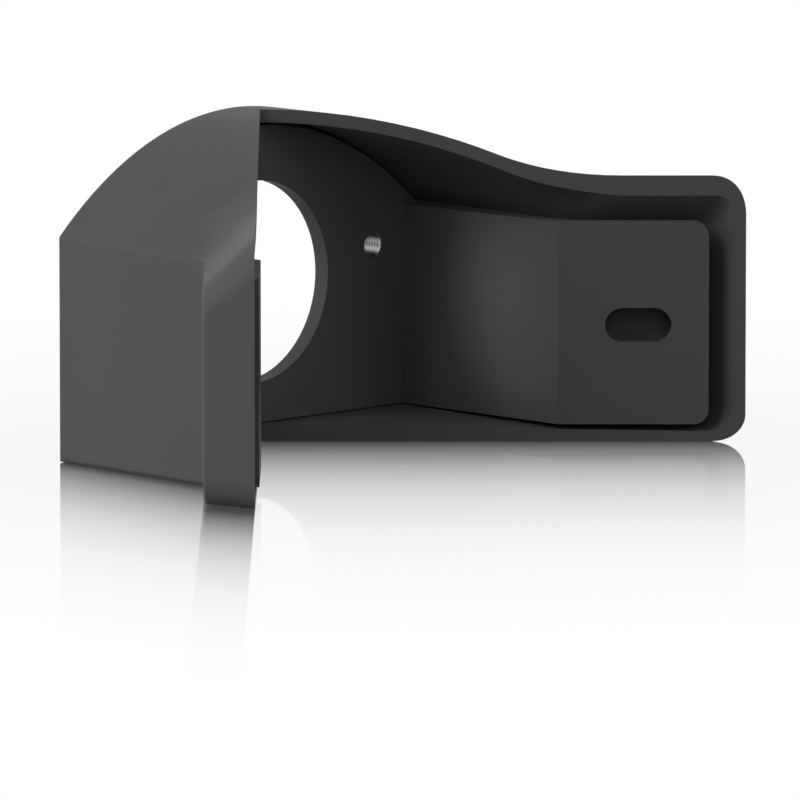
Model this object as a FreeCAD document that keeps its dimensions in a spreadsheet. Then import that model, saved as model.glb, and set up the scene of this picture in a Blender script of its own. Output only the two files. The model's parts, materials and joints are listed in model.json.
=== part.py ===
import FreeCAD, Part
import os
import Sketcher
from FreeCAD import Placement, Rotation, Vector

# Bracket that carries a dome camera on the outside corner of a building, in millimetres.
# A moulded cover hides a folded mounting plate. The plate is screwed to both walls through its two slots, and the
# camera's screws go into the two threaded inserts and clamp the cover to the plate.
# The origin is the foot of the building's corner and +Z is up. One wall is the plane Y = 0 at X > 0 and the other is
# the plane X = 0 at Y < 0, so the camera faces along (-1, 1, 0). That direction is called out, and (1, 1, 0) across.
# The two arms mirror each other about the plane X + Y = 0.

SIZES = {
    # cover, outside
    "arm_length": 97.0,  # building corner to the end of an arm, along the wall
    "hood_height": 66.8,  # top of the hood above the bottom
    "hood_radius": 128.8,  # arch of the hood in the plane of a wall
    "hood_draft": 2.0,  # angle by which the hood narrows outwards
    "face_out": 7.4,  # camera face, out from the building corner
    "face_half_width": 48.7,  # middle of the camera face to its edge
    "side_draft": 3.1,  # angle by which the side faces spread towards the walls
    "rim_height": 53.55,  # top of the flange where it meets the wall
    "roof_slope": 45.0,  # fall of the flange's roof away from the wall
    "flange_depth": 10.0,  # flange, out from the wall
    "end_slant": 33.3,  # angle of the arm's end to the square
    "valley_at_wall": 70.0,  # hollow radius between hood and roof at the wall
    "valley_at_side": 20.0,  # and at the back of the flange
    "crease_radius": 5.0,  # hollow between the side face and the flange
    "upper_corner_radius": 9.2,  # corner of an arm's end under the roof
    "lower_corner_radius": 5.4,  # and above the bottom
    "edge_radius": 1.0,  # outer edges of the face, the hood and the flange
    # cover, walls
    "cover_wall": 2.6,
    "front_wall": 2.4,
    "roof_wall": 2.87,
    "end_wall": 2.75,
    "floor_rise": 3.18,  # top of the floor below the building corner
    "floor_draft": 1.07,  # fall of the floor's top towards the arm ends
    "upper_inner_radius": 4.0,
    "lower_inner_radius": 4.6,
    "camera_opening": 46.0,
    # mounting plate
    "plate_thickness": 3.6,
    "plate_side_gap": 1.0,  # side wall to the cover's side
    "plate_hood_gap": 0.8,  # camera wall to the hood
    "plate_floor_gap": 0.35,
    "pad_proud": 0.8,  # wall pads stand out of the cover
    "pad_end_gap": 7.4,  # wall pad to the end of the arm
    "pad_top_gap": 5.3,  # wall pad to the roof at the wall
    "pad_corner_radius": 3.0,
    "plate_hole": 40.7,
    "camera_height": 32.0,  # axis of the camera above the bottom
    "slot_length": 13.3,
    "slot_width": 7.1,
    "slot_end_distance": 14.1,  # middle of a slot to the end of its pad
    "slot_rise": 19.9,  # middle of a slot to the lower edge of the plate
    # threaded inserts
    "insert_across": 33.2,  # middle of the plate to an insert
    "insert_rise": 4.35,  # above the camera's axis
    "insert_outer": 7.0,
    "insert_bore": 4.2,
    "insert_chamfer": 0.4,
    "insert_gap": 0.25,  # insert to its hole in the cover
}

# Each outline below is given by expressions on the sheet, which is called Size.
HOOD_FOOT = "(Size.hood_height - Size.hood_radius)"
PLATE_OUT = "(Size.face_out - Size.front_wall)"
PLATE_IN = f"({PLATE_OUT} - Size.plate_thickness)"
PLATE_LOW = "(Size.floor_rise + Size.plate_floor_gap)"
PAD_TOP = "(Size.rim_height - Size.roof_wall / cos(Size.roof_slope) - Size.pad_top_gap)"
SIDE_OUT = "(Size.face_half_width - Size.cover_wall - Size.plate_side_gap)"
SIDE_IN = f"({SIDE_OUT} - Size.plate_thickness)"
PAD_BACK = "(Size.plate_thickness - Size.pad_proud)"
PAD_END = "(Size.arm_length - Size.pad_end_gap)"
INSERT_HEIGHT = "(Size.camera_height + Size.insert_rise)"

PLANES = {
    "XY": Rotation(),
    "XZ": Rotation(Vector(1, 0, 0), 90),
    "YZ": Rotation(Vector(1, 1, 1), 120),
}
OUTWARD = Rotation(Vector(0, 0, 1), Vector(-1, 1, 0))
REACH = "150"  # long enough to pass any part of the bracket

doc = FreeCAD.newDocument("corner_bracket")
sheet = doc.addObject("Spreadsheet::Sheet", "Size")
for line, (alias, size) in enumerate(SIZES.items(), 1):
    sheet.set(f"A{line}", alias)
    sheet.set(f"B{line}", str(size))
    sheet.setAlias(f"B{line}", alias)
doc.recompute()


def number(text):
    """Value of an expression on the sheet."""
    return float(sheet.evalExpression(text))


def bind(item, **texts):
    """Ties the properties of item to expressions."""
    for name, text in texts.items():
        item.setExpression(name, text)
    return item


def place(item, x, y, z):
    """Ties the position of item to three expressions."""
    for axis, text in zip("xyz", (x, y, z)):
        item.setExpression(f"Placement.Base.{axis}", text)
    return item


def from_middle(across, out):
    """X and Y of a point given by its distance across from the middle and out from the building corner."""
    return f"({across} - {out}) / sqrt(2)", f"({across} + {out}) / sqrt(2)"


def outline(name, corners, plane="XY", body=None):
    """Closed sketch whose corners are pairs of expressions in the plane."""
    if body:
        sketch = body.newObject("Sketcher::SketchObject", name)
        role = f"{plane}_Plane"
        sketch.AttachmentSupport = next(f for f in body.Origin.OriginFeatures if f.Role == role)
        sketch.MapMode = "FlatFace"
    else:
        sketch = doc.addObject("Sketcher::SketchObject", name)
        sketch.Placement = Placement(Vector(), PLANES[plane])
    points = [Vector(number(a), number(b), 0) for a, b in corners]
    for here, there in zip(points, points[1:] + points[:1]):
        sketch.addGeometry(Part.LineSegment(here, there), False)
    for i, corner in enumerate(corners):
        before = (i - 1) % len(corners)
        sketch.addConstraint(Sketcher.Constraint("Coincident", before, 2, i, 1))
        for kind, text in zip(("DistanceX", "DistanceY"), corner):
            limit = Sketcher.Constraint(kind, -1, 1, i, 1, number(text))
            at = sketch.addConstraint(limit)
            sketch.setExpression(f"Constraints[{at}]", text)
    return sketch


def extrude(name, base, along, ahead, behind="0"):
    """Solid swept from base along a direction whose three parts are expressions."""
    block = doc.addObject("Part::Extrusion", name)
    block.Base = base
    block.DirMode = "Custom"
    block.Solid = True
    for axis, text in zip("xyz", along):
        block.setExpression(f"Dir.{axis}", text)
    return bind(block, LengthFwd=ahead, LengthRev=behind)


def combine(kind, name, base, tool):
    """Part::Fuse, Part::Cut or Part::Common of two objects, with split faces joined again."""
    result = doc.addObject(f"Part::{kind}", name)
    result.Base = base
    result.Tool = tool
    result.Refine = True
    return result


def mirror(name, half):
    """Whole piece from the half on the side of +X."""
    other = doc.addObject("Part::Mirroring", f"{name}_other_half")
    other.Source = half
    other.Normal = Vector(1, 1, 0)
    return combine("Fuse", name, half, other)


def round_edges(name, base, pick):
    """Fillet on the edges of base for which pick gives the radii at both ends."""
    doc.recompute()
    fillet = doc.addObject("Part::Fillet", name)
    fillet.Base = base
    radii = [pick(edge) for edge in base.Shape.Edges]
    fillet.Edges = [(i, *pair) for i, pair in enumerate(radii, 1) if pair]
    return fillet


def middle(edge):
    return edge.valueAt((edge.FirstParameter + edge.LastParameter) / 2)


def peg(name, radius, across, height, start, length):
    """Cylinder that points outwards."""
    pin = doc.addObject("Part::Cylinder", name)
    pin.Placement = Placement(Vector(), OUTWARD)
    place(pin, *from_middle(across, start), height)
    return bind(pin, Radius=radius, Height=length)


def hood_block(name, inset):
    """Everything below the hood's surface moved in by inset, on the side of +X."""
    arch = doc.addObject("Part::Circle", f"{name}_arch")
    arch.Placement = Placement(Vector(), PLANES["XZ"])
    place(arch, "0", "0", HOOD_FOOT)
    bind(arch, Radius=f"Size.hood_radius - {inset}")
    along = "-(1 + tan(Size.hood_draft))", "1 - tan(Size.hood_draft)", "0"
    return extrude(name, arch, along, REACH, "Size.cover_wall * 2")


def envelope(name, past, inset, roof, front, back, end, valley, crease, corners, floor=None):
    """Half of the cover's outer form, or of its hollow with the walls given as insets.

    It reaches past the wall plane. The valley between hood and roof has a radius at the wall and one at the side,
    and the corners of the arm's end have one under the roof and one above the bottom.
    """
    out = f"(Size.face_out - {front})"
    half = f"(Size.face_half_width - {inset})"
    depth = f"(Size.flange_depth - {back})"
    length = f"(Size.arm_length - {end})"
    rim = f"(Size.rim_height - {roof} / cos(Size.roof_slope))"
    fall = "tan(Size.roof_slope)"
    slant = "tan(Size.end_slant)"
    spread = "(1 + tan(Size.side_draft)) / (1 - tan(Size.side_draft))"

    section = [
        (f"-{past} - 1", "-1"),
        (f"-{past} - 1", f"{rim} + ({past} + 1) * {fall}"),
        (f"({rim} + 1) / {fall}", "-1"),
    ]
    section = outline(f"{name}_section", section, "YZ")
    roof_block = extrude(f"{name}_roof", section, ("1", "0", "0"), REACH)
    top = combine("Fuse", f"{name}_top", hood_block(f"{name}_hood", inset), roof_block)
    if floor:
        top = combine("Cut", f"{name}_above_floor", top, floor)

    face_x, face_y = from_middle(half, out)
    plan = [
        (past, f"-{past}"),
        (f"{length} + {past} * {slant}", f"-{past}"),
        (f"{length} - {depth} * {slant}", depth),
        (f"{face_x} + ({face_y} - {depth}) * {spread}", depth),
        (face_x, face_y),
        from_middle("0", out),
    ]
    prism = extrude(f"{name}_prism", outline(f"{name}_plan", plan), ("0", "0", "1"), REACH)
    junction = Vector(number(plan[3][0]), number(plan[3][1]), 0)

    def at_junction(edge):
        low = min((v.Point for v in edge.Vertexes), key=lambda p: p.z)
        upright = edge.BoundBox.ZLength > 1
        if upright and low.distanceToPoint(junction) < 0.001:
            return number(crease), number(crease)

    prism = round_edges(f"{name}_creased", prism, at_junction)
    block = combine("Common", f"{name}_block", top, prism)

    arch = number(f"Size.hood_radius - {inset}")
    rise = number(f"{rim} - {HOOD_FOOT}")
    room = number(length) - number(corners[0])
    widest = (room**2 - arch**2 + rise**2) / (2 * (arch - rise))

    def in_valley(edge):
        at = middle(edge)
        on_roof = abs(at.z - number(rim) + at.y * number(fall)) < 0.001
        inside = 0.5 - number(past) < at.y < number(depth) - 0.5
        if on_roof and inside and at.x < number(length) - 20:
            ends = min(number(valley[0]), widest), min(number(valley[1]), widest)
            first, last = (edge.valueAt(p).y for p in (edge.FirstParameter, edge.LastParameter))
            return ends if first < last else ends[::-1]

    def across_end(edge):
        at = middle(edge)
        on_end = abs(at.x - number(length) + at.y * number(slant)) < 0.001
        inside = 0.1 - number(past) < at.y < number(depth) - 0.1
        if on_end and inside and edge.BoundBox.ZLength < number(depth) * 2:
            radius = number(corners[at.z < number(rim) / 2])
            return radius, radius

    block = round_edges(f"{name}_valley", block, in_valley)
    return round_edges(f"{name}_corners", block, across_end)


def cover():
    """One moulding: hooded front, two flanged arms, floor, open towards both walls."""
    outer = envelope(
        "outer",
        past="0",
        inset="0",
        roof="0",
        front="0",
        back="0",
        end="0",
        valley=("Size.valley_at_wall", "Size.valley_at_side"),
        crease="Size.crease_radius",
        corners=("Size.upper_corner_radius", "Size.lower_corner_radius"),
    )
    tip = Vector(*(number(text) for text in from_middle("Size.face_half_width", "Size.face_out")), 0)

    def at_tip(edge):
        above = [v.Point for v in edge.Vertexes if v.Point.z > 1]
        if any(Vector(p.x, p.y, 0).distanceToPoint(tip) < 0.001 for p in above):
            return number("Size.edge_radius"), number("Size.edge_radius")

    outer = round_edges("outer_rounded", outer, at_tip)
    slab = doc.addObject("Part::Box", "floor_slab")
    tilt = Rotation(Vector(1, 1, 0), number("Size.floor_draft"))
    slab.Placement = Placement(Vector(), tilt * Rotation(Vector(0, 0, 1), -45))
    bind(slab, Length=f"2 * {REACH}", Width=f"2 * {REACH}", Height=REACH)
    reach = number(REACH)
    middle_top = slab.Placement.Rotation.multVec(Vector(reach, reach, reach))
    slab.Placement.Base = Vector(0, 0, number("Size.floor_rise")) - middle_top
    inner = envelope(
        "inner",
        past="1",
        inset="Size.cover_wall",
        roof="Size.roof_wall",
        front="Size.front_wall",
        back="Size.cover_wall",
        end="Size.end_wall",
        valley=("(Size.valley_at_wall + Size.cover_wall)", "(Size.valley_at_side + Size.cover_wall)"),
        crease="(Size.crease_radius + Size.cover_wall)",
        corners=("Size.upper_inner_radius", "Size.lower_inner_radius"),
        floor=slab,
    )
    whole = mirror("cover_shell", combine("Cut", "cover_half", outer, inner))
    wall = "(Size.front_wall + 4)"
    start = f"({PLATE_OUT} - 2)"
    opening = peg("cover_opening", "Size.camera_opening / 2", "0", "Size.camera_height", start, wall)
    result = combine("Cut", "cover_opened", whole, opening)
    for side, sign in (("right", ""), ("left", "-")):
        radius = "Size.insert_outer / 2 + Size.insert_gap"
        hole = peg(f"{side}_cover_hole", radius, f"{sign}Size.insert_across", INSERT_HEIGHT, start, wall)
        result = combine("Cut", f"cover_{side}_hole_cut", result, hole)
    result.Label = "outer_cover"
    return result


def slot_cutter():
    """Full-round slot through a wall pad, its long way level."""
    centre = f"({PAD_END} - Size.slot_end_distance)"
    height = f"({PLATE_LOW} + Size.slot_rise)"
    half = "(Size.slot_length - Size.slot_width) / 2"
    box = doc.addObject("Part::Box", "slot_middle")
    place(box, f"{centre} - {half}", "-Size.pad_proud - 1", f"{height} - Size.slot_width / 2")
    bind(box, Length=f"2 * {half}", Width="Size.plate_thickness + 2", Height="Size.slot_width")
    result = box
    for name, sign in (("near", "-"), ("far", "+")):
        end = doc.addObject("Part::Cylinder", f"slot_{name}_end")
        end.Placement = Placement(Vector(), Rotation(Vector(1, 0, 0), -90))
        place(end, f"{centre} {sign} {half}", "-Size.pad_proud - 1", height)
        bind(end, Radius="Size.slot_width / 2", Height="Size.plate_thickness + 2")
        result = combine("Fuse", f"slot_to_{name}_end", result, end)
    return result


def plate():
    """Plate folded like a hat: camera wall, two side walls, two slotted wall pads."""
    camera_plan = [
        from_middle("0", PLATE_IN),
        from_middle(SIDE_OUT, PLATE_IN),
        from_middle(SIDE_OUT, PLATE_OUT),
        from_middle("0", PLATE_OUT),
    ]
    camera_wall = extrude("camera_wall", outline("camera_wall_plan", camera_plan), ("0", "0", "1"), REACH)
    under_hood = hood_block("plate_hood", "(Size.cover_wall + Size.plate_hood_gap)")
    camera_wall = combine("Common", "camera_wall_arched", camera_wall, under_hood)
    side_plan = [
        from_middle(SIDE_IN, PLATE_IN),
        (f"sqrt(2) * {SIDE_IN} + Size.pad_proud", "-Size.pad_proud"),
        (PAD_END, "-Size.pad_proud"),
        (PAD_END, PAD_BACK),
        (f"sqrt(2) * {SIDE_OUT} - {PAD_BACK}", PAD_BACK),
        from_middle(SIDE_OUT, PLATE_IN),
    ]
    side = extrude("side", outline("side_plan", side_plan), ("0", "0", "1"), PAD_TOP)

    def pad_corner(edge):
        ends = [v.Point for v in edge.Vertexes]
        at_end = all(abs(p.x - number(PAD_END)) < 0.001 for p in ends)
        if at_end and edge.BoundBox.ZLength < 0.01:
            return number("Size.pad_corner_radius"), number("Size.pad_corner_radius")

    below = doc.addObject("Part::Box", "below_plate")
    place(below, f"-{REACH}", f"-{REACH}", "-10")
    bind(below, Length=f"2 * {REACH}", Width=f"2 * {REACH}", Height=f"10 + {PLATE_LOW}")
    side = combine("Cut", "side_trimmed", side, below)
    side = round_edges("side_rounded", side, pad_corner)
    camera_wall = combine("Cut", "camera_wall_trimmed", camera_wall, below)
    half = combine("Fuse", "plate_half", camera_wall, side)
    half = combine("Cut", "plate_half_slotted", half, slot_cutter())
    whole = mirror("plate_blank", half)
    start = f"({PLATE_IN} - 2)"
    through = "(Size.plate_thickness + 4)"
    opening = peg("plate_opening", "Size.plate_hole / 2", "0", "Size.camera_height", start, through)
    result = combine("Cut", "plate_opened", whole, opening)
    for side, sign in (("right", ""), ("left", "-")):
        across = f"{sign}Size.insert_across"
        hole = peg(f"{side}_plate_hole", "Size.insert_outer / 2", across, INSERT_HEIGHT, start, through)
        result = combine("Cut", f"plate_{side}_hole_cut", result, hole)
    result.Label = "mounting_plate"
    return result


def threaded_insert(name, sign):
    """Bush pressed into the plate, flush with its inner side and with the cover's face."""
    body = doc.addObject("PartDesign::Body", name)
    length = f"(Size.face_out - {PLATE_IN})"
    bore = "Size.insert_bore / 2"
    mouth = f"{bore} + Size.insert_chamfer"
    ring = [
        (mouth, "0"),
        ("Size.insert_outer / 2", "0"),
        ("Size.insert_outer / 2", length),
        (mouth, length),
        (bore, f"{length} - Size.insert_chamfer"),
        (bore, "Size.insert_chamfer"),
    ]
    sketch = outline(f"{name}_section", ring, "XZ", body)
    turned = body.newObject("PartDesign::Revolution", f"{name}_turned")
    turned.Profile = sketch
    turned.ReferenceAxis = (sketch, ["V_Axis"])
    turned.Angle = 360
    sketch.Visibility = False
    body.Placement = Placement(Vector(), OUTWARD)
    place(body, *from_middle(f"{sign}Size.insert_across", PLATE_IN), INSERT_HEIGHT)
    body.Label = name
    return body


pieces = [
    cover(),
    plate(),
    threaded_insert("right_threaded_insert", ""),
    threaded_insert("left_threaded_insert", "-"),
]
doc.recompute()
for item in doc.Objects:
    if {"Invalid", "Error"} & set(item.State):
        raise RuntimeError(f"{item.Label} failed")
for piece in pieces:
    if piece.Shape.isNull() or not piece.Shape.isValid() or len(piece.Shape.Solids) != 1:
        raise RuntimeError(f"{piece.Label} is not one sound solid")
os.makedirs("parts", exist_ok=True)
for piece in pieces:
    piece.Shape.exportStep(f"parts/{piece.Label}.step")
    print(piece.Label, round(piece.Shape.Volume, 1), len(piece.Shape.Faces))
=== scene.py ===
import json
import math

import bmesh
import bpy
from bpy.props import FloatProperty, FloatVectorProperty, IntProperty, PointerProperty
from mathutils import Matrix, Vector


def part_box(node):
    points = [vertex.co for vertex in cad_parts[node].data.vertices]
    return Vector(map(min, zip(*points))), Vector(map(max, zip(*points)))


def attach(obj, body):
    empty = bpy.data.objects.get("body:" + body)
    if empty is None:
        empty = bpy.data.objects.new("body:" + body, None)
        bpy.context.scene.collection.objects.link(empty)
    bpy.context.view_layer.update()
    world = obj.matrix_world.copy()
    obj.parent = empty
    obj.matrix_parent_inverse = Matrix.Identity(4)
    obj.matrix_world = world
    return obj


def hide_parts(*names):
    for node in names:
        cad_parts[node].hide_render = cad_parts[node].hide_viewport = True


bl_info = {
    "name": "Camera corner bracket",
    "version": (1, 0, 0),
    "blender": (4, 5, 0),
    "location": "View3D > Sidebar > Corner bracket",
    "description": "Dresses a hooded corner bracket for a wall camera and sets it on a glossy studio floor",
    "category": "Object",
}

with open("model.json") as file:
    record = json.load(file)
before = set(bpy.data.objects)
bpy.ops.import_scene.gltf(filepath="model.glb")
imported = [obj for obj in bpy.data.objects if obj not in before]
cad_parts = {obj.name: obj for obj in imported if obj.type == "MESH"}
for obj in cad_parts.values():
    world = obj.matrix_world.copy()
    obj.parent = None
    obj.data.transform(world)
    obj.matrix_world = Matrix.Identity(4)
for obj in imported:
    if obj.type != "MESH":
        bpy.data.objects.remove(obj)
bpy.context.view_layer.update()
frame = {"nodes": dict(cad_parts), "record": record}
MOUNTS = {mount["name"]: mount for mount in frame["record"]["mounts"]}

# Dark finishes: fine grain, height of its relief as a share of its size, broad clouds of tone, and gloss.
GRAIN_DETAIL, GRAIN_HARSHNESS, GRAIN_RELIEF = 3, 0.6, 0.1
COVER_BUMP, PLATE_BUMP = 0.35, 0.45
CLOUD_SCALE, CLOUD_DETAIL = 45, 4
TONE_SPREAD, ROUGHNESS_SPREAD = 0.06, 0.05
DARK_GLOSS = 0.07

# Bright metal: scale of the turning marks, how much darker they are, and roughness on and between them.
MARKS_SCALE, MARKS_TONE = 4000, 0.85
METAL_ROUGHNESS = (0.22, 0.38)

# Bush: turns of thread beyond its length, countersink as a share of the thread's depth, and sharp edges.
SPARE_TURNS, COUNTERSINK, SHARP_ANGLE = 4, 0.8, math.radians(35)
# Bush: distances within which points are one, lie on a cut, and belong to its loop.
SAME_POINT, ON_CUT, IN_PLANE = 1e-7, 1e-8, 1e-6
# Bush: its two material slots.
METAL, COAT = 0, 1

# Floor: half its width, how far it lies below the foot, its grey in the shade, and roughness of its mirror.
FLOOR_HALF, FLOOR_DROP, FLOOR_GREY, FLOOR_ROUGHNESS = 6, 0.0001, 0.35, 0.04
# Edge of the foot that is nearest to the camera: X, and how far it stands in front of the wall plane.
FOOT = ((-0.0397, 0.0292), (-0.0100, 0.0640), (-0.0099, 0.0904), (0.0, 0.0970), (0.0001, 0.0))
# Curve of that edge: from and to which X it runs, and the distance that its highest level, 1, stands for.
FOOT_LEFT, FOOT_RIGHT, FOOT_UNIT = -0.05, 0.01, 0.1
# Share of mirror image in front of that edge: its value there, the length and the power of its fall.
MIRROR_SHARE, MIRROR_LENGTH, MIRROR_POWER = 0.96, 0.056, 1.216
# How far the mirror image reaches in front of the edge, in how many steps, and how far behind it.
MIRROR_AHEAD, MIRROR_STEPS, MIRROR_BEHIND = 0.21, 20, 0.05
# Last shares of mirror image, by distance behind the edge.
MIRROR_END = ((0.03, 0.9), (0.045, 0.0))
# Share of shade by distance from the bracket's middle, so that the floor further off stays white.
SHADE = ((0.0, 1.0), (0.08, 1.0), (0.14, 0.4), (0.24, 0.0))
SHADE_MIDDLE, SHADE_REACH = (0.028, -0.02, 0), 0.4

# Light of the room as the bracket gets it. Seen directly, the room is white.
ROOM_LEVEL = 0.0125
# Lamps: name, place, width and height in metres, watts.
LAMPS = (
    ("left_low", (-1.3, -0.1, 0.3), (0.5, 0.5), 6.4),
    ("front_left", (-0.9, -0.7, 0.9), (0.9, 0.9), 8.9),
    ("front", (0.2, -1.8, 0.8), (0.9, 0.9), 5),
    ("right", (1.2, -0.5, 0.8), (0.9, 0.9), 4.4),
    ("back_left", (-1.0, 1.3, 0.25), (0.6, 0.4), 1.9),
    ("back_right", (1.1, 1.2, 0.25), (0.6, 0.4), 8.8),
)
LAMP_AIM = (0.02, -0.02, 0.03)

# Camera: width of its sensor in millimetres, nearest and furthest distance that it takes in.
SENSOR_WIDTH, CLIP_START, CLIP_END = 36, 0.1, 30


class CoverFinish(bpy.types.PropertyGroup):
    """Moulded anthracite cover."""

    colour: FloatVectorProperty(
        name="Colour", description="Colour of the moulding", subtype="COLOR", size=3,
        default=(0.093, 0.099, 0.098),
    )
    roughness: FloatProperty(
        name="Roughness", description="How matt the moulding is", subtype="FACTOR", min=0, max=1,
        default=0.52,
    )
    grain: FloatProperty(
        name="Grain", description="Size of the fine mould texture", subtype="DISTANCE",
        default=0.00035,
    )


class PlateFinish(bpy.types.PropertyGroup):
    """Powder-coated mounting plate."""

    colour: FloatVectorProperty(
        name="Colour", description="Colour of the coat", subtype="COLOR", size=3,
        default=(0.090, 0.096, 0.094),
    )
    roughness: FloatProperty(
        name="Roughness", description="How matt the coat is", subtype="FACTOR", min=0, max=1,
        default=0.55,
    )
    grain: FloatProperty(
        name="Grain", description="Size of the powder coat's speckle", subtype="DISTANCE",
        default=0.0005,
    )


class InsertFinish(bpy.types.PropertyGroup):
    """Threaded bushes for the camera's screws."""

    colour: FloatVectorProperty(
        name="Colour", description="Colour of the metal", subtype="COLOR", size=3,
        default=(0.25, 0.25, 0.243),
    )
    bore: FloatProperty(
        name="Bore", description="Diameter inside the thread", subtype="DISTANCE", unit="LENGTH",
        default=0.0042,
    )
    pitch: FloatProperty(
        name="Pitch", description="Distance between two turns", subtype="DISTANCE", unit="LENGTH",
        default=0.00075,
    )
    depth: FloatProperty(
        name="Depth", description="Height of the thread", subtype="DISTANCE", unit="LENGTH",
        default=0.00046,
    )
    steps: IntProperty(
        name="Steps", description="Faces round the thread", min=12, max=128,
        default=48,
    )


class StageLook(bpy.types.PropertyGroup):
    """Floor, lights and camera."""

    distance: FloatProperty(
        name="Distance", description="Camera to the wall plane", subtype="DISTANCE", unit="LENGTH",
        default=2.360,
    )
    level: FloatProperty(
        name="Height", description="Camera above the floor", subtype="DISTANCE", unit="LENGTH",
        default=0.3404,
    )
    aim_across: FloatProperty(
        name="Aim across", description="Aim point along the wall", subtype="DISTANCE", unit="LENGTH",
        default=0.0279,
    )
    aim_height: FloatProperty(
        name="Aim height", description="Aim point above the floor", subtype="DISTANCE", unit="LENGTH",
        default=0.0083,
    )
    field: FloatProperty(
        name="Field", description="Width that the picture takes in at the wall",
        subtype="DISTANCE", unit="LENGTH",
        default=0.160,
    )
    shadow: FloatProperty(
        name="Shadow", description="How much the white floor darkens in shade",
        subtype="FACTOR", min=0, max=1,
        default=0.085,
    )
    bounce: FloatProperty(
        name="Bounce", description="Share of light that the floor throws back at the bracket",
        subtype="FACTOR", min=0, max=1,
        default=0.3,
    )


def add_object(name, data):
    """New object in the scene."""
    made = bpy.data.objects.new(name, data)
    bpy.context.scene.collection.objects.link(made)
    return made


def node_tree(name):
    """New material with only an output and a Principled shader."""
    material = bpy.data.materials.new(name)
    material.use_nodes = True
    tree = material.node_tree
    return material, tree, tree.nodes["Principled BSDF"]


def noise(tree, place, scale, detail=2, harshness=0.5):
    """Noise over the piece's own coordinates."""
    texture = tree.nodes.new("ShaderNodeTexNoise")
    texture.inputs["Scale"].default_value = scale
    texture.inputs["Detail"].default_value = detail
    texture.inputs["Roughness"].default_value = harshness
    tree.links.new(place, texture.inputs["Vector"])
    return texture.outputs["Fac"]


def tones(tree, pattern, first, second):
    """Colour that goes from first to second with the pattern."""
    mix = tree.nodes.new("ShaderNodeMix")
    mix.data_type = "RGBA"
    mix.inputs["A"].default_value = (*first, 1)
    mix.inputs["B"].default_value = (*second, 1)
    tree.links.new(pattern, mix.inputs["Factor"])
    return mix.outputs["Result"]


def levels(tree, pattern, low, high):
    """Value that goes from low to high with the pattern."""
    reach = tree.nodes.new("ShaderNodeMapRange")
    reach.inputs["To Min"].default_value = low
    reach.inputs["To Max"].default_value = high
    tree.links.new(pattern, reach.inputs["Value"])
    return reach.outputs["Result"]


def grained(name, look, bump):
    """Matt dark finish: fine grain as bump, faint cloudy change of tone, fine change of roughness."""
    material, tree, shader = node_tree(name)
    place = tree.nodes.new("ShaderNodeTexCoord").outputs["Object"]
    fine = noise(tree, place, 1 / look.grain, GRAIN_DETAIL, GRAIN_HARSHNESS)
    broad = noise(tree, place, CLOUD_SCALE, CLOUD_DETAIL)
    darker = [part * (1 - TONE_SPREAD) for part in look.colour]
    lighter = [part * (1 + TONE_SPREAD) for part in look.colour]
    smoothest, roughest = look.roughness - ROUGHNESS_SPREAD, look.roughness + ROUGHNESS_SPREAD
    tree.links.new(tones(tree, broad, darker, lighter), shader.inputs["Base Color"])
    tree.links.new(levels(tree, fine, smoothest, roughest), shader.inputs["Roughness"])
    relief = tree.nodes.new("ShaderNodeBump")
    relief.inputs["Strength"].default_value = bump
    relief.inputs["Distance"].default_value = look.grain * GRAIN_RELIEF
    tree.links.new(fine, relief.inputs["Height"])
    tree.links.new(relief.outputs["Normal"], shader.inputs["Normal"])
    shader.inputs["Specular IOR Level"].default_value = DARK_GLOSS
    return material


def bright_metal(name, colour):
    """Machined metal with faint turning marks."""
    material, tree, shader = node_tree(name)
    shader.inputs["Metallic"].default_value = 1
    place = tree.nodes.new("ShaderNodeTexCoord").outputs["Object"]
    marks = noise(tree, place, MARKS_SCALE)
    darker = [part * MARKS_TONE for part in colour]
    tree.links.new(tones(tree, marks, darker, colour), shader.inputs["Base Color"])
    tree.links.new(levels(tree, marks, *METAL_ROUGHNESS), shader.inputs["Roughness"])
    return material


def dress(node, material):
    """Gives a CAD node its finish."""
    piece = frame["nodes"][node]
    piece.data.materials.clear()
    piece.data.materials.append(material)


class BRACKET_OT_cover(bpy.types.Operator):
    """Finishes the moulded cover"""

    bl_idname = "bracket.cover"
    bl_label = "Cover"

    def execute(self, context):
        material = grained("Anthracite moulding", context.scene.cover_finish, COVER_BUMP)
        dress("outer_cover", material)
        return {"FINISHED"}


class BRACKET_OT_plate(bpy.types.Operator):
    """Finishes the folded mounting plate"""

    bl_idname = "bracket.plate"
    bl_label = "Mounting plate"

    def execute(self, context):
        material = grained("Anthracite powder coat", context.scene.plate_finish, PLATE_BUMP)
        dress("mounting_plate", material)
        return {"FINISHED"}


def thread_line(mesh, crest, root, pitch, turns):
    """Zigzag line up the flanks of a thread, in the XZ plane."""
    line = []
    for i in range(2 * turns + 1):
        height = (i - turns - 1) * pitch / 2
        line.append(mesh.verts.new((root if i % 2 else crest, 0, height)))
    return line + [mesh.edges.new(pair) for pair in zip(line, line[1:])]


def boundary(mesh):
    """Edges of the mesh's open rims."""
    return [edge for edge in mesh.edges if edge.is_boundary]


def cut_end(mesh, side, height):
    """Cuts off what lies beyond a level plane and returns the open loop that is left there."""
    whole = [*mesh.verts, *mesh.edges, *mesh.faces]
    bmesh.ops.bisect_plane(
        mesh, geom=whole, dist=ON_CUT, plane_co=(0, 0, height), plane_no=(0, 0, side), clear_outer=True
    )
    rims = boundary(mesh)
    return [edge for edge in rims if all(abs(vert.co.z - height) < IN_PLANE for vert in edge.verts)]


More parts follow.
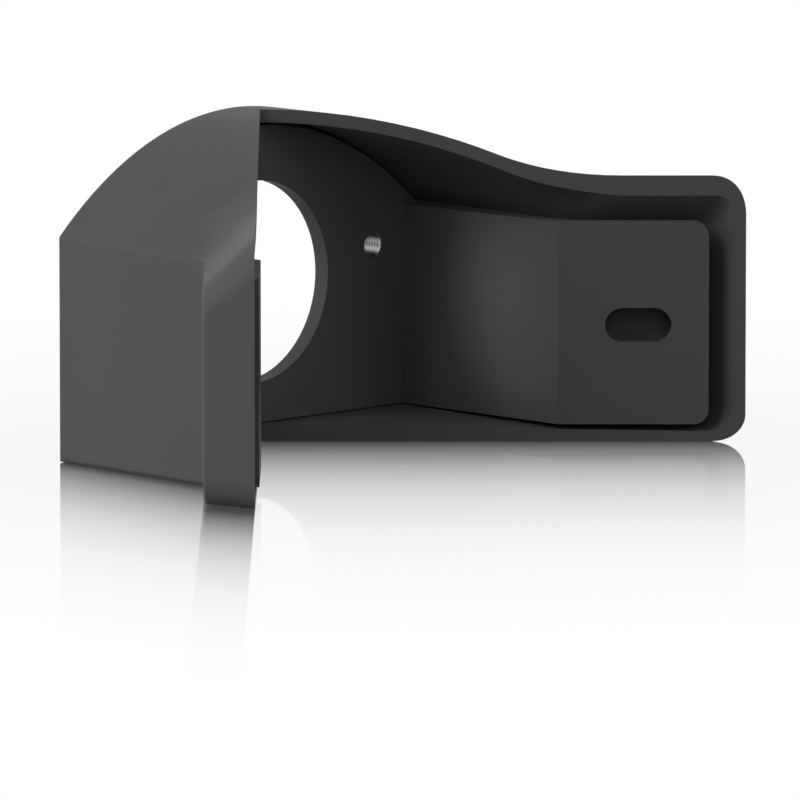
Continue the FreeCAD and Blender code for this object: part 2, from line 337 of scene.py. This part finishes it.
def extrude_ring(mesh, ring, radius, height, finish):
    """Draws a ring of edges out to a radius and height, and returns the new ring."""
    made = bmesh.ops.extrude_edge_only(mesh, edges=ring)["geom"]
    for vert in (part for part in made if isinstance(part, bmesh.types.BMVert)):
        vert.co = (*(vert.co.xy.normalized() * radius), height)
    for face in (part for part in made if isinstance(part, bmesh.types.BMFace)):
        face.material_index = finish
    return [part for part in made if isinstance(part, bmesh.types.BMEdge) and part.is_boundary]


def threaded_bush(look, outer, length):
    """Bush along Z about the origin, with a real helical thread and a countersink at both ends."""
    crest, half = look.bore / 2, length / 2
    root = crest + look.depth
    mesh = bmesh.new()
    line = thread_line(mesh, crest, root, look.pitch, round(length / look.pitch) + SPARE_TURNS)
    rise = (0, 0, look.pitch / look.steps)
    bmesh.ops.spin(mesh, geom=line, axis=(0, 0, 1), dvec=rise, angle=math.tau, steps=look.steps)
    bmesh.ops.remove_doubles(mesh, verts=mesh.verts, dist=SAME_POINT)
    for side in (-1, 1):
        ring = cut_end(mesh, side, side * (half - look.depth * COUNTERSINK))
        ring = extrude_ring(mesh, ring, root, side * half, METAL)
        ring = extrude_ring(mesh, ring, outer / 2, side * half, COAT)
    # The wall goes from the upper end's ring down to the lower end's. Their points can stand at different
    # angles, which leaves thin open rims.
    extrude_ring(mesh, ring, outer / 2, -half, COAT)
    bmesh.ops.remove_doubles(mesh, verts=mesh.verts, dist=look.pitch / look.steps / 2)
    rims = boundary(mesh)
    if rims:
        for face in bmesh.ops.holes_fill(mesh, edges=rims, sides=0)["faces"]:
            face.material_index = COAT
    bmesh.ops.recalc_face_normals(mesh, faces=mesh.faces)
    if mesh.calc_volume(signed=True) < 0:
        bmesh.ops.reverse_faces(mesh, faces=mesh.faces)
    for face in mesh.faces:
        face.smooth = True
    return mesh


class BRACKET_OT_inserts(bpy.types.Operator):
    """Makes the two threaded bushes"""

    bl_idname = "bracket.inserts"
    bl_label = "Threaded inserts"

    def execute(self, context):
        look = context.scene.insert_finish
        metal = bright_metal("Turned steel", look.colour)
        coat = bpy.data.materials["Anthracite powder coat"]
        for side in ("left", "right"):
            self.bush(look, side, metal, coat)
        return {"FINISHED"}

    def bush(self, look, side, metal, coat):
        """Makes the bush of one side in the place of its CAD node."""
        node = f"{side}_threaded_insert"
        low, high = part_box(node)
        outer = high[2] - low[2]
        # The bush lies level at 45 degrees, so its box is as wide as its length and diameter over root 2.
        length = (high[0] - low[0]) * math.sqrt(2) - outer
        mesh = threaded_bush(look, outer, length)
        screw = MOUNTS[f"{side}_camera_screw"]
        turn = Vector(screw["axis"]).to_track_quat("Z", "Y").to_matrix().to_4x4()
        bmesh.ops.transform(mesh, matrix=Matrix.Translation(screw["pos_m"]) @ turn, verts=mesh.verts)
        data = bpy.data.meshes.new(f"{side}_threaded_bush")
        mesh.to_mesh(data)
        mesh.free()
        data.set_sharp_from_angle(angle=SHARP_ANGLE)
        data.materials.append(metal)
        data.materials.append(coat)
        bush = add_object(data.name, data)
        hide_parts(node)
        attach(bush, "root")


def point_at(holder, place, aim):
    """Puts a lamp or the camera at place and turns it towards aim."""
    holder.location = place
    holder.rotation_euler = (Vector(aim) - Vector(place)).to_track_quat("-Z", "Y").to_euler()


def area_light(name, place, size, power):
    """Soft rectangular lamp that points at the bracket."""
    lamp = bpy.data.lights.new(name, "AREA")
    lamp.shape = "RECTANGLE"
    lamp.size, lamp.size_y = size
    lamp.energy = power
    point_at(add_object(name, lamp), place, LAMP_AIM)


def grey(tree, kind, level):
    """Shader node of a kind, in a grey or white."""
    node = tree.nodes.new(kind)
    node.inputs["Color"].default_value = (level, level, level, 1)
    return node


def computed(tree, operation, *values):
    """Result of a Math node on sockets and numbers."""
    node = tree.nodes.new("ShaderNodeMath")
    node.operation = operation
    for socket, value in zip(node.inputs, values):
        if isinstance(value, bpy.types.NodeSocket):
            tree.links.new(value, socket)
        else:
            socket.default_value = value
    return node.outputs[0]


def seen_directly(tree):
    """Socket that is 1 for camera, glossy and transmission rays."""
    rays = tree.nodes.new("ShaderNodeLightPath").outputs
    either = computed(tree, "MAXIMUM", rays["Is Camera Ray"], rays["Is Glossy Ray"])
    return computed(tree, "MAXIMUM", either, rays["Is Transmission Ray"])


def mixed(tree, share, first, second):
    """Mix of two shaders by the share that a socket gives."""
    mix = tree.nodes.new("ShaderNodeMixShader")
    tree.links.new(share, mix.inputs["Fac"])
    tree.links.new(first, mix.inputs[1])
    tree.links.new(second, mix.inputs[2])
    return mix.outputs[0]


def ramp(tree, value, low, high, stops):
    """Curve through stops, given as places between low and high and their values."""
    place = tree.nodes.new("ShaderNodeMapRange")
    place.inputs["From Min"].default_value = low
    place.inputs["From Max"].default_value = high
    tree.links.new(value, place.inputs["Value"])
    colours = tree.nodes.new("ShaderNodeValToRGB")
    points = colours.color_ramp.elements
    while len(points) < len(stops):
        points.new(0.5)
    for point, (at, level) in zip(points, stops):
        point.position = (at - low) / (high - low)
        point.color = (level, level, level, 1)
    tree.links.new(place.outputs["Result"], colours.inputs["Fac"])
    return colours.outputs["Color"]


def mirror_stops():
    """Share of mirror image by distance from the foot's edge, where minus is nearer to the camera."""
    stops = [(-MIRROR_AHEAD, 0.0)]
    for i in range(1, MIRROR_STEPS + 1):
        ahead = MIRROR_AHEAD * (1 - i / MIRROR_STEPS) ** 2
        fall = (ahead / MIRROR_LENGTH) ** MIRROR_POWER
        stops.append((-ahead, MIRROR_SHARE * math.exp(-fall)))
    return [*stops, *MIRROR_END]


def mirror_share(tree, place):
    """How much of a place on the floor is mirror."""
    split = tree.nodes.new("ShaderNodeSeparateXYZ")
    tree.links.new(place, split.inputs[0])
    stops = [(at, ahead / FOOT_UNIT) for at, ahead in FOOT]
    edge = ramp(tree, split.outputs["X"], FOOT_LEFT, FOOT_RIGHT, stops)
    behind = computed(tree, "MULTIPLY_ADD", edge, FOOT_UNIT, split.outputs["Y"])
    return ramp(tree, behind, -MIRROR_AHEAD, MIRROR_BEHIND, mirror_stops())


def shade_share(tree, place, most):
    """How much of a place on the floor takes the shade."""
    off = tree.nodes.new("ShaderNodeVectorMath")
    off.operation = "DISTANCE"
    off.inputs[1].default_value = SHADE_MIDDLE
    tree.links.new(place, off.inputs[0])
    return computed(tree, "MULTIPLY", ramp(tree, off.outputs["Value"], 0, SHADE_REACH, SHADE), most)


class BRACKET_OT_stage(bpy.types.Operator):
    """Sets up the floor, the lights and the camera"""

    bl_idname = "bracket.stage"
    bl_label = "Stage"

    def execute(self, context):
        look = context.scene.stage_look
        self.floor(look)
        self.room(context.scene)
        for name, place, size, power in LAMPS:
            area_light(name, place, size, power)
        self.camera(context.scene, look)
        return {"FINISHED"}

    def floor(self, look):
        mesh = bmesh.new()
        bmesh.ops.create_grid(mesh, x_segments=1, y_segments=1, size=FLOOR_HALF)
        data = bpy.data.meshes.new("floor")
        mesh.to_mesh(data)
        mesh.free()
        data.materials.append(self.floor_finish(look))
        floor = add_object("floor", data)
        floor.location.z = -FLOOR_DROP

    def floor_finish(self, look):
        """White floor that mirrors the bracket's foot, less and less further in front of it."""
        material = bpy.data.materials.new("Glossy white floor")
        material.use_nodes = True
        tree = material.node_tree
        tree.nodes.clear()
        output = tree.nodes.new("ShaderNodeOutputMaterial")
        place = tree.nodes.new("ShaderNodeTexCoord").outputs["Object"]
        bright = grey(tree, "ShaderNodeEmission", 1)
        mirror = grey(tree, "ShaderNodeBsdfGlossy", 1)
        mirror.inputs["Roughness"].default_value = FLOOR_ROUGHNESS
        shaded = grey(tree, "ShaderNodeBsdfDiffuse", FLOOR_GREY)
        bounce = grey(tree, "ShaderNodeBsdfDiffuse", look.bounce)
        shown = mixed(tree, mirror_share(tree, place), bright.outputs[0], mirror.outputs[0])
        shown = mixed(tree, shade_share(tree, place, look.shadow), shown, shaded.outputs[0])
        surface = mixed(tree, seen_directly(tree), bounce.outputs[0], shown)
        tree.links.new(surface, output.inputs["Surface"])
        return material

    def room(self, scene):
        """World that looks white and lights the bracket only faintly."""
        scene.world = scene.world or bpy.data.worlds.new("Studio")
        scene.world.use_nodes = True
        tree = scene.world.node_tree
        tree.nodes.clear()
        output = tree.nodes.new("ShaderNodeOutputWorld")
        room = grey(tree, "ShaderNodeBackground", 1)
        room.inputs["Strength"].default_value = ROOM_LEVEL
        white = grey(tree, "ShaderNodeBackground", 1)
        white.inputs["Strength"].default_value = 1
        surface = mixed(tree, seen_directly(tree), room.outputs[0], white.outputs[0])
        tree.links.new(surface, output.inputs["Surface"])

    def camera(self, scene, look):
        data = bpy.data.cameras.new("camera")
        scene.camera = add_object("camera", data)
        place = Vector((look.aim_across, -look.distance, look.level))
        aim = Vector((look.aim_across, 0, look.aim_height))
        point_at(scene.camera, place, aim)
        data.sensor_width = SENSOR_WIDTH
        data.lens = SENSOR_WIDTH * (aim - place).length / look.field
        data.clip_start, data.clip_end = CLIP_START, CLIP_END
        scene.view_settings.view_transform = "Standard"


# Operators in the order in which they run, each with its settings.
PIECES = (
    (BRACKET_OT_cover, "cover_finish", CoverFinish),
    (BRACKET_OT_plate, "plate_finish", PlateFinish),
    (BRACKET_OT_inserts, "insert_finish", InsertFinish),
    (BRACKET_OT_stage, "stage_look", StageLook),
)


class BRACKET_PT_panel(bpy.types.Panel):
    """Lists the bracket's pieces"""

    bl_label = "Corner bracket"
    bl_idname = "BRACKET_PT_panel"
    bl_space_type = "VIEW_3D"
    bl_region_type = "UI"
    bl_category = "Corner bracket"

    def draw(self, context):
        for operator, name, group in PIECES:
            box = self.layout.box()
            box.operator(operator.bl_idname)
            for setting in group.__annotations__:
                box.prop(getattr(context.scene, name), setting)


def register():
    for operator, name, group in PIECES:
        bpy.utils.register_class(group)
        setattr(bpy.types.Scene, name, PointerProperty(type=group))
        bpy.utils.register_class(operator)
    bpy.utils.register_class(BRACKET_PT_panel)


def unregister():
    bpy.utils.unregister_class(BRACKET_PT_panel)
    for operator, name, group in reversed(PIECES):
        bpy.utils.unregister_class(operator)
        delattr(bpy.types.Scene, name)
        bpy.utils.unregister_class(group)


def main():
    register()
    bpy.ops.bracket.cover()
    bpy.ops.bracket.plate()
    bpy.ops.bracket.inserts()
    bpy.ops.bracket.stage()


if __name__ == "__main__":
    main()
